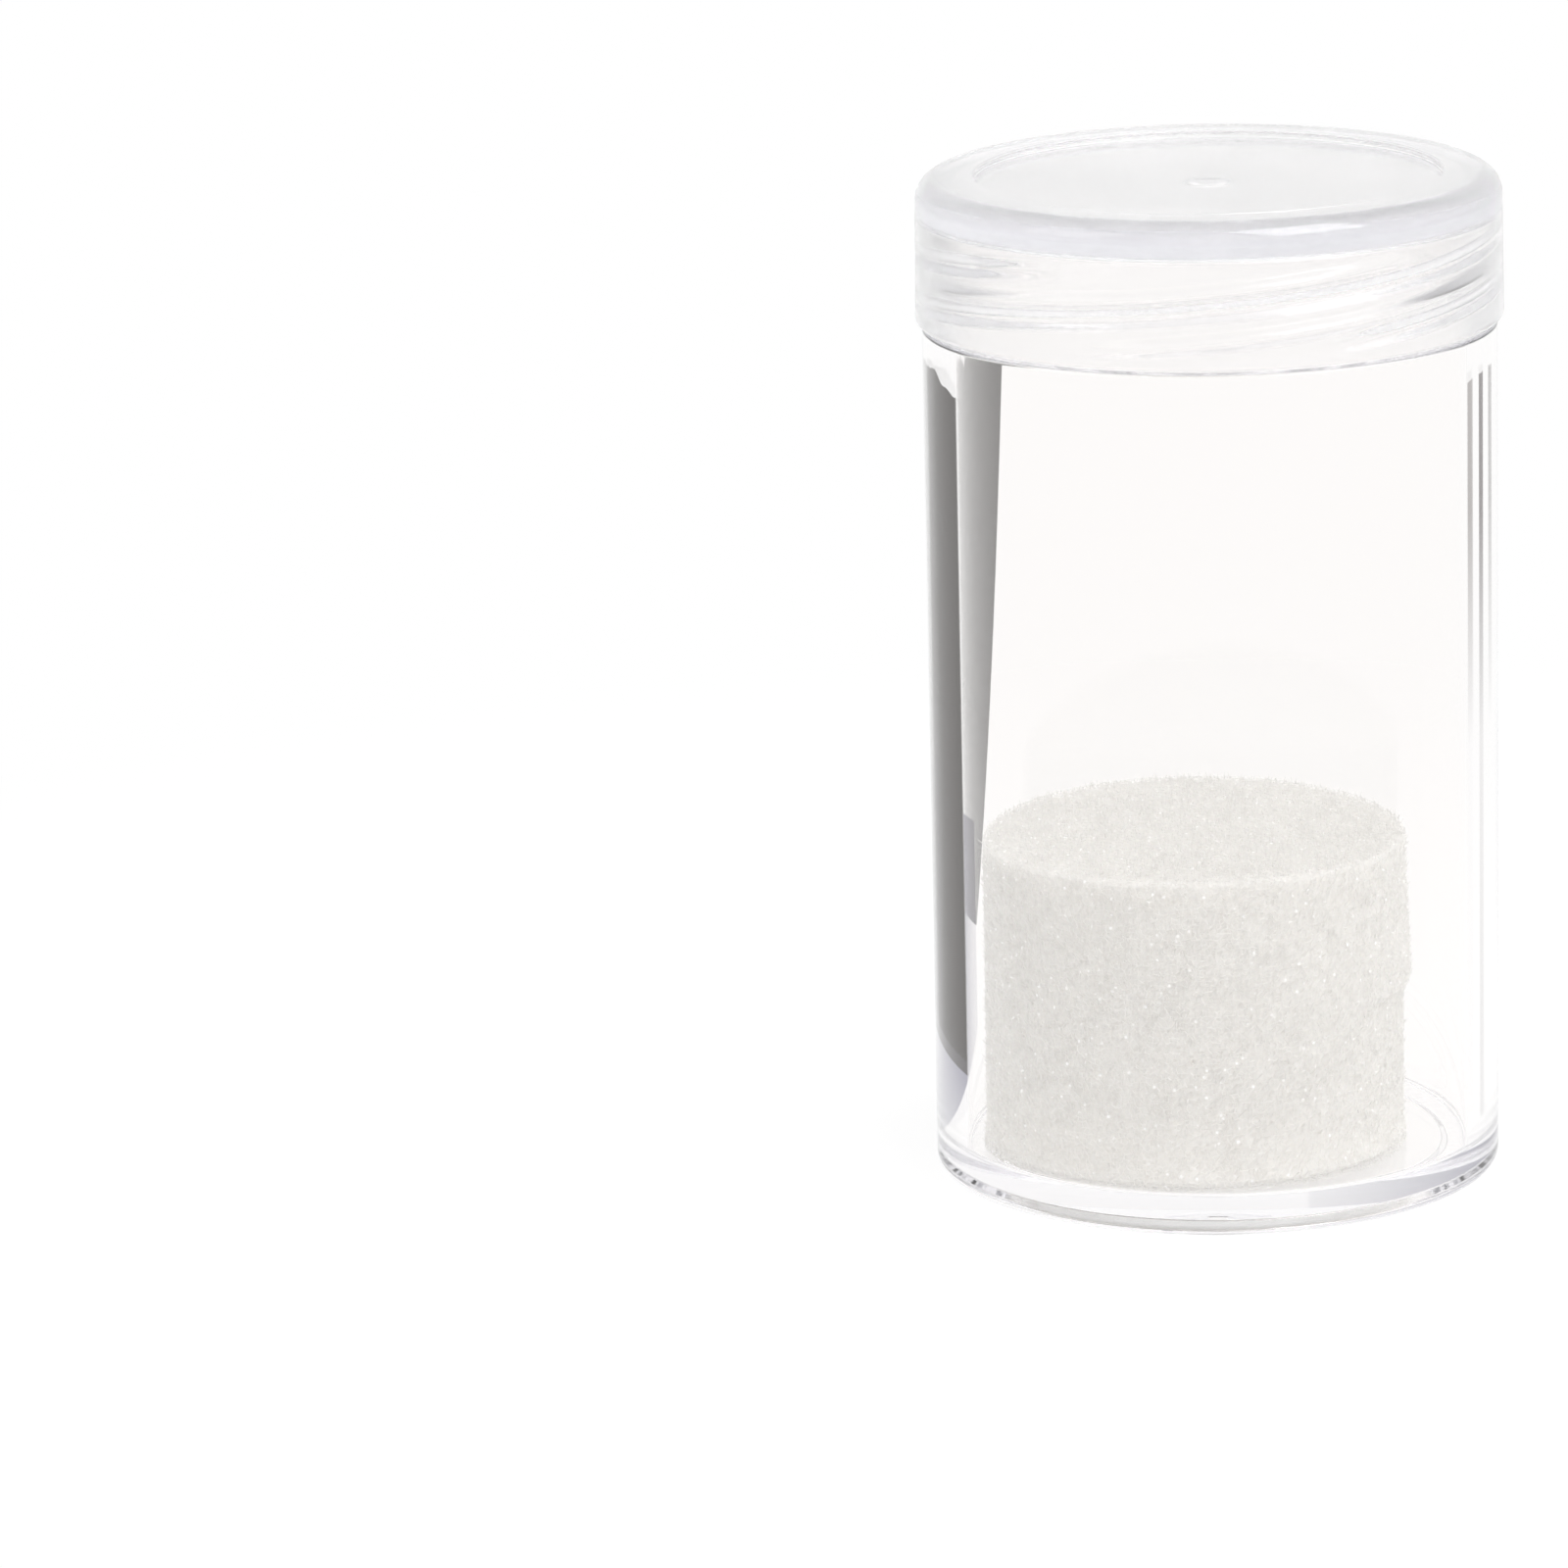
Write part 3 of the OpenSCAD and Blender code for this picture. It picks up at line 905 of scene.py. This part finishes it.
class COINTUBE_OT_foam(bpy.types.Operator):
    """Builds the foam plug as a dense core under a net of cut cells"""

    bl_idname = "cointube.foam"
    bl_label = "Foam"

    def execute(self, context):
        size = context.scene.cointube_foam
        cell, strut, ruffle = scaled(size.cell), scaled(size.strut), scaled(size.ruffle)
        rng = random.Random(7)
        shape = FoamShape()
        foam = bmesh.new()
        foam_core(foam, shape)
        add_part(foam, side_net(shape, cell, strut, ruffle, rng))
        add_part(foam, cap_net(shape, shape.high, 1, cell, strut, ruffle, rng))
        add_part(foam, cap_net(shape, shape.low + NET_LIFT, -1, cell, strut, 0, rng))
        for _ in range(size.hair_patches):
            add_part(foam, hair_patch(shape, scaled(size.hair), strut * HAIR_THICKNESS, rng))
        material = foam_material("white_foam", size.colour, FOAM_LOW.z)
        plug = make_piece(context, foam, "foam_plug", material, smooth=False)
        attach(plug, "foam_insert")
        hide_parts("foam_insert")
        return {"FINISHED"}


def turned(vector, axis, angle):
    """A vector turned about an axis."""
    return Matrix.Rotation(angle, 3, axis) @ vector


class COINTUBE_OT_stage(bpy.types.Operator):
    """Sets the camera, the lamps, the floor and the room's light"""

    bl_idname = "cointube.stage"
    bl_label = "Stage"

    def execute(self, context):
        settings = context.scene.cointube_stage
        self.add_camera(context, settings)
        self.add_floor(context, settings)
        self.add_world(context, settings)
        self.add_lamps(context)
        self.add_flags(context)
        context.scene.view_settings.view_transform = "Standard"
        # Light goes to and fro many times inside the thick clear plastic before it comes out
        cycles = context.scene.cycles
        cycles.max_bounces = cycles.transmission_bounces = cycles.glossy_bounces = settings.bounces
        cycles.transparent_max_bounces = settings.bounces
        return {"FINISHED"}

    def add_camera(self, context, settings):
        """Stands the camera where the photograph was taken from."""
        elevation = settings.camera_elevation
        centre = Vector((0, 0, settings.camera_height))
        away = Vector((0, -math.cos(elevation), math.sin(elevation)))
        forward = -away
        right = forward.cross(Vector((0, 0, 1))).normalized()
        up = right.cross(forward)
        forward, right = (turned(v, up, settings.camera_yaw) for v in (forward, right))
        forward, up = (turned(v, right, settings.camera_pitch) for v in (forward, up))
        right, up = (turned(v, forward, settings.camera_roll) for v in (right, up))
        data = bpy.data.cameras.new("camera")
        data.sensor_width = SENSOR_WIDTH
        data.lens = data.sensor_width * settings.focal_pixels / PHOTO_WIDTH
        data.clip_start = 0.01
        camera = bpy.data.objects.new("camera", data)
        place = Matrix((right, up, -forward)).transposed().to_4x4()
        place.translation = centre + away * settings.camera_distance
        camera.matrix_world = place
        context.scene.collection.objects.link(camera)
        context.scene.camera = camera

    def add_floor(self, context, settings):
        """Lays a pale floor that keeps the object's soft shadow and shows only from above."""
        material, tree, output = new_material("floor")
        paper = add_node(tree, "ShaderNodeBsdfDiffuse", Color=(0.93, 0.93, 0.93, 1))
        white = add_node(tree, "ShaderNodeEmission", Color=(1, 1, 1, 1), Strength=1.0)
        place = tree.nodes.new("ShaderNodeTexCoord")
        distance = tree.nodes.new("ShaderNodeVectorMath")
        distance.operation = "LENGTH"
        fade = add_node(
            tree, "ShaderNodeMapRange", From_Min=settings.clear_radius * 0.2, From_Max=settings.clear_radius,
            To_Min=0.85, To_Max=1.0,
        )
        tree.links.new(place.outputs["Object"], distance.inputs[0])
        tree.links.new(distance.outputs["Value"], fade.inputs["Value"])
        share = math_node(tree, "MULTIPLY", seen_ray(tree), fade.outputs["Result"])
        lit = mixed_shader(tree, share, paper.outputs["BSDF"], white.outputs["Emission"])
        side = tree.nodes.new("ShaderNodeNewGeometry")
        clear = tree.nodes.new("ShaderNodeBsdfTransparent")
        surface = mixed_shader(tree, side.outputs["Backfacing"], lit, clear.outputs["BSDF"])
        tree.links.new(surface, output.inputs["Surface"])
        bm = bmesh.new()
        bmesh.ops.create_grid(bm, x_segments=1, y_segments=1, size=scaled(3))
        floor = make_piece(context, bm, "floor", material)

    def add_flags(self, context):
        """Puts dark cards around the tube that only show, bent, as dark strips in its sides and its base."""
        # How often the light has bounced inside the plastic: the middle of a range and half its width
        never, often, ever = (0, 0.5), (50, 49.5), (50, 50.5)
        left, up = (-1, 0, 0), (0, 0, 1)
        # Sections of the upright cards near the tube, as radii and heights of their ends
        long_card, tall_card = ((0.03, 0), (0.03, 0.066)), ((0.03, 0.005), (0.03, 0.066))
        # The height at which they end with its raggedness, and the heights that they fade between with what is left
        top, faint, gone = (0.0635, 0.004), (0.032, 0.051, 0.25), (0.032, 0.051, 0.0)
        # Light that leaves the tube's middle reaches the near cards sooner than this, so it doesn't show them
        edge_path = 0.0116
        near = (2, often, edge_path, up, top)
        # Each card's name, centre, section, first and last angle in degrees, and what its material is told
        for name, x, y, section, start, end, *look in (
            (
                "left_flag", -0.039, 0.005, ((0.06, 0), (0.36, 0)), 6.4, 31,
                (0.035, 0.030, 0.026), 4, never, 0, None, (0.345, 0.03), None,
            ),
            ("left_edge_flag", 0, 0, tall_card, 46, 89, (0.09, 0.083, 0.078), *near, None),
            ("outer_right_flag", 0, 0, long_card, -67, -62, (0.28, 0.27, 0.26), *near, gone),
            ("right_flag", 0, 0, long_card, -77.5, -73.5, (0.20, 0.18, 0.18), *near, faint),
            ("inner_right_flag", 0, 0, long_card, -87, -83, (0.50, 0.48, 0.47), *near, gone),
            (
                "base_flag", 0, 0, ((0.024, 0), (0.06, 0), (0.06, 0.018)), 7, 75,
                (0.25, 0.25, 0.33), 2, ever, 0, left, (1, 0), (0, 0.05, 0),
            ),
        ):
            centre = Vector((x, y, 0)) * WORK
            bm = bmesh.new()
            ends = [bm.verts.new(centre + Vector((0, scaled(r), scaled(z) + CARD_GAP))) for r, z in section]
            for a, b in zip(ends, ends[1:]):
                bm.edges.new((a, b))
            bmesh.ops.rotate(
                bm, cent=centre, matrix=Matrix.Rotation(math.radians(start), 3, "Z"), verts=ends,
            )
            bmesh.ops.spin(
                bm, geom=bm.verts[:] + bm.edges[:], cent=centre, axis=(0, 0, 1),
                angle=math.radians(end - start), steps=CARD_STEPS,
            )
            flag = make_piece(context, bm, name, flag_material(name, *look))
            flag.visible_camera = flag.visible_diffuse = flag.visible_shadow = False

    def add_world(self, context, settings):
        """A white room for the eye, for glass and for gloss, and a plain ambient light for the rest."""
        world = bpy.data.worlds.new("room")
        world.use_nodes = True
        tree = world.node_tree
        tree.nodes.clear()
        output = tree.nodes.new("ShaderNodeOutputWorld")
        place = tree.nodes.new("ShaderNodeTexCoord")
        split = tree.nodes.new("ShaderNodeSeparateXYZ")
        fade = tree.nodes.new("ShaderNodeValToRGB")
        fade.color_ramp.elements[0].position = 0.35
        fade.color_ramp.elements[0].color = (1, 1, 1, 1)
        fade.color_ramp.elements[1].position = 0.9
        fade.color_ramp.elements[1].color = (0.95, 0.95, 0.98, 1)
        shown = add_node(tree, "ShaderNodeBackground", Strength=1.0)
        ambient = add_node(tree, "ShaderNodeBackground", Color=(1, 1, 1, 1), Strength=settings.ambient)
        tree.links.new(place.outputs["Generated"], split.inputs["Vector"])
        tree.links.new(split.outputs["Z"], fade.inputs["Fac"])
        tree.links.new(fade.outputs["Color"], shown.inputs["Color"])
        room = mixed_shader(tree, seen_ray(tree), ambient.outputs["Background"], shown.outputs["Background"])
        tree.links.new(room, output.inputs["Surface"])
        context.scene.world = world

    def add_lamps(self, context):
        """Hangs two large soft lamps, a main one and a weaker one."""
        target = Vector((0, 0, 0.04))
        for name, place, side, watts in (
            ("main_lamp", Vector((0.45, -0.35, 0.9)), 0.6, 5.2),
            ("fill_lamp", Vector((-0.6, -0.3, 0.6)), 0.5, 0.5),
        ):
            data = bpy.data.lights.new(name, "AREA")
            data.shape = "SQUARE"
            data.size = side
            data.energy = watts
            lamp = bpy.data.objects.new(name, data)
            lamp.location = place
            lamp.rotation_euler = (target - place).to_track_quat("-Z", "Y").to_euler()
            context.scene.collection.objects.link(lamp)


class COINTUBE_PT_panel(bpy.types.Panel):
    """Lists the builders of the coin tube and their sizes"""

    bl_idname = "COINTUBE_PT_panel"
    bl_label = "Coin Tube"
    bl_space_type = "VIEW_3D"
    bl_region_type = "UI"
    bl_category = "Coin Tube"

    def draw(self, context):
        layout = self.layout
        for operator in OPERATORS:
            layout.operator(operator.bl_idname)
        for name, group in SETTINGS.items():
            box = layout.box()
            box.label(text=group.__doc__)
            settings = getattr(context.scene, name)
            for key in group.__annotations__:
                box.prop(settings, key)


SETTINGS = {
    "cointube_thread": ThreadSettings,
    "cointube_tube": TubeSettings,
    "cointube_lid": LidSettings,
    "cointube_foam": FoamSettings,
    "cointube_stage": StageSettings,
}
OPERATORS = (COINTUBE_OT_tube, COINTUBE_OT_lid, COINTUBE_OT_foam, COINTUBE_OT_stage)


def register():
    """Adds the settings, the operators and the panel to the program."""
    for cls in (*SETTINGS.values(), *OPERATORS, COINTUBE_PT_panel):
        bpy.utils.register_class(cls)
    for name, group in SETTINGS.items():
        setattr(bpy.types.Scene, name, PointerProperty(type=group))


def unregister():
    """Takes away what register added."""
    for name in SETTINGS:
        delattr(bpy.types.Scene, name)
    for cls in reversed((*SETTINGS.values(), *OPERATORS, COINTUBE_PT_panel)):
        bpy.utils.unregister_class(cls)


def main():
    register()
    bpy.ops.cointube.stage()
    bpy.ops.cointube.tube()
    bpy.ops.cointube.lid()
    bpy.ops.cointube.foam()


if __name__ == "__main__":
    main()
